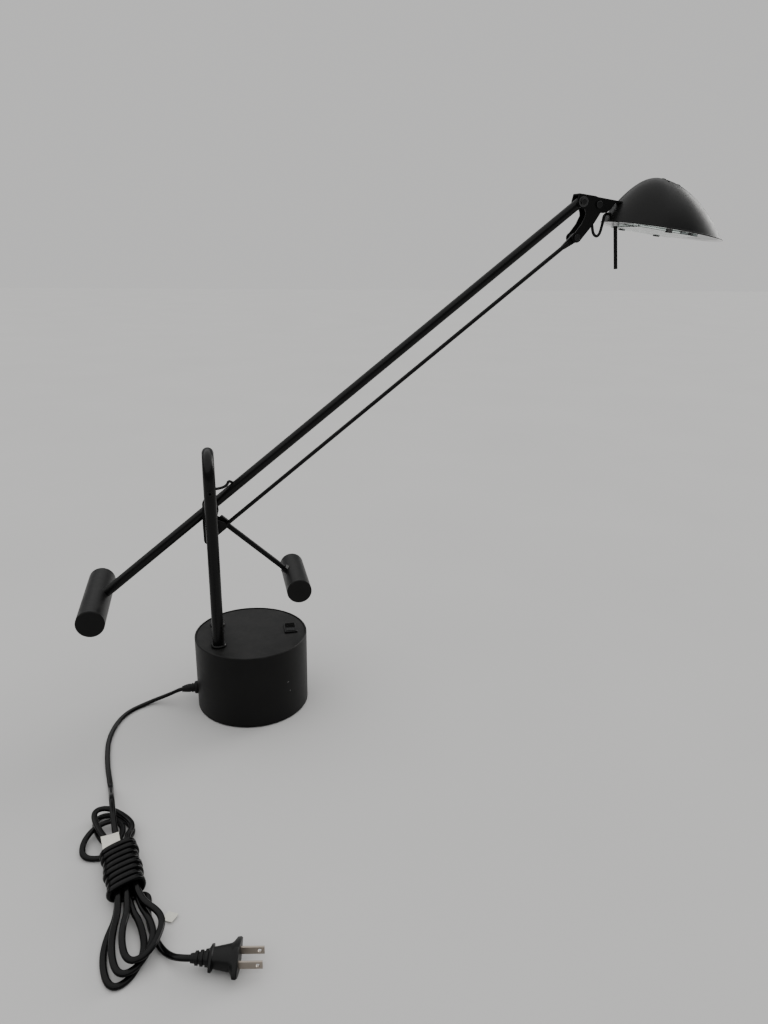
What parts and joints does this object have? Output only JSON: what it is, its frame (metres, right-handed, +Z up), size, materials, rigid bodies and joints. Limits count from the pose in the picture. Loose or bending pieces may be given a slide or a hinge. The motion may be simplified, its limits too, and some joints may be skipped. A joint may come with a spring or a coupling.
{
  "type": "counterweight balance desk lamp",
  "caption": "Low-voltage desk lamp with a drum base, a hoop post, a balanced parallel arm with cylindrical counterweights, and a tilting dome head.",
  "frame": {"origin": "centre of the base's underside on the table", "axes": "+Z up, +X from the base towards the head, +Y away from the viewer of the picture"},
  "size_m": [0.7102, 0.4482, 0.582],
  "materials": {
    "black_enamel": "satin",
    "zinc_steel": "satin",
    "silicon_steel": "matte",
    "nylon": "matte",
    "winding_copper": "satin",
    "felt": "matte",
    "wire_sleeve": "satin",
    "switch_plastic": "gloss",
    "black_rubber": "satin",
    "dark_steel": "satin",
    "plug_brass": "satin",
    "bright_aluminium": "polished",
    "clear_glass": "clear",
    "ceramic": "matte",
    "lamp_pin_steel": "satin"
  },
  "bodies": {
    "base": {"base_shell": "black_enamel", "base_top": "black_enamel", "base_plate": "zinc_steel", "base_pad": "felt", "plate_screws": "zinc_steel", "transformer_core": "silicon_steel", "transformer_bobbin": "nylon", "transformer_winding": "winding_copper", "transformer_strap": "zinc_steel", "transformer_screws": "zinc_steel", "base_wires": "wire_sleeve", "switch_body": "switch_plastic", "cord_bushing": "black_rubber", "hoop_tube": "black_enamel", "hoop_collars": "black_enamel", "hoop_nuts": "zinc_steel", "axle_bolt": "dark_steel", "axle_spacers": "nylon", "leg_grommet": "black_rubber", "post_cable": "wire_sleeve", "hoop_loop_cable": "wire_sleeve", "cord_lead": "black_rubber", "cord_hank": "black_rubber", "cord_tail": "black_rubber", "plug_body": "black_rubber", "plug_blades": "plug_brass"},
    "rocker": {"switch_rocker": "switch_plastic"},
    "balance": {"near_balance_plate": "black_enamel", "far_balance_plate": "black_enamel", "weight_rod_block": "black_enamel", "weight_rod": "black_enamel", "weight_rod_nut": "dark_steel", "lower_counterweight": "black_enamel", "lower_pin": "dark_steel", "lower_pin_spacers": "nylon"},
    "link": {"link_rod": "black_enamel"},
    "arm": {"arm_tube": "black_enamel", "arm_axle_bush": "nylon", "arm_tip_bush": "nylon", "upper_counterweight": "black_enamel", "counterweight_screw": "dark_steel", "arm_wires": "wire_sleeve"},
    "knuckle": {"upper_pin": "dark_steel", "upper_pin_washers": "dark_steel", "knuckle_bracket": "black_enamel", "link_pin": "dark_steel", "link_pin_spacers": "nylon", "neck_bolt": "dark_steel", "head_loop_cable": "wire_sleeve"},
    "head": {"neck_bracket": "black_enamel", "shade_shell": "black_enamel", "reflector": "bright_aluminium", "glass_pane": "clear_glass", "glass_clips": "zinc_steel", "lamp_holder": "ceramic", "halogen_lamp": "clear_glass", "lamp_pins": "lamp_pin_steel", "lamp_leads": "wire_sleeve", "handle_rod": "black_enamel", "handle_nuts": "zinc_steel"}
  },
  "joints": [
    {"name": "balance_tilt", "type": "hinge", "parent": "base", "child": "balance", "pos_m": [-0.0371, 0, 0.2401], "axis": [0, -1, 0], "range_deg": [-10, 10], "deforming": ["hoop_loop_cable"]},
    {"name": "arm_lift", "type": "hinge", "parent": "balance", "child": "arm", "pos_m": [-0.0371, 0, 0.2401], "axis": [0, -1, 0], "range_deg": [-38, 16], "deforming": ["hoop_loop_cable"]},
    {"name": "link_turn", "type": "hinge", "parent": "balance", "child": "link", "pos_m": [-0.0408, 0, 0.2046], "axis": [0, -1, 0], "range_deg": [-38.5, 16.5]},
    {"name": "knuckle_turn", "type": "hinge", "parent": "arm", "child": "knuckle", "pos_m": [0.36102, 0, 0.55564], "axis": [0, -1, 0], "range_deg": [-16.5, 38.5]},
    {"name": "head_tilt", "type": "hinge", "parent": "knuckle", "child": "head", "pos_m": [0.37932, 0, 0.55314], "axis": [0, -1, 0], "range_deg": [-15, 12], "deforming": ["head_loop_cable"]},
    {"name": "switch_rock", "type": "hinge", "parent": "base", "child": "rocker", "pos_m": [0.045, 0, 0.0862], "axis": [1, 0, 0], "range_deg": [-14, 0]}
  ],
  "couplings": [
    {"joint": "link_turn", "follows": "arm_lift", "ratio": 1},
    {"joint": "knuckle_turn", "follows": "arm_lift", "ratio": -1}
  ]
}
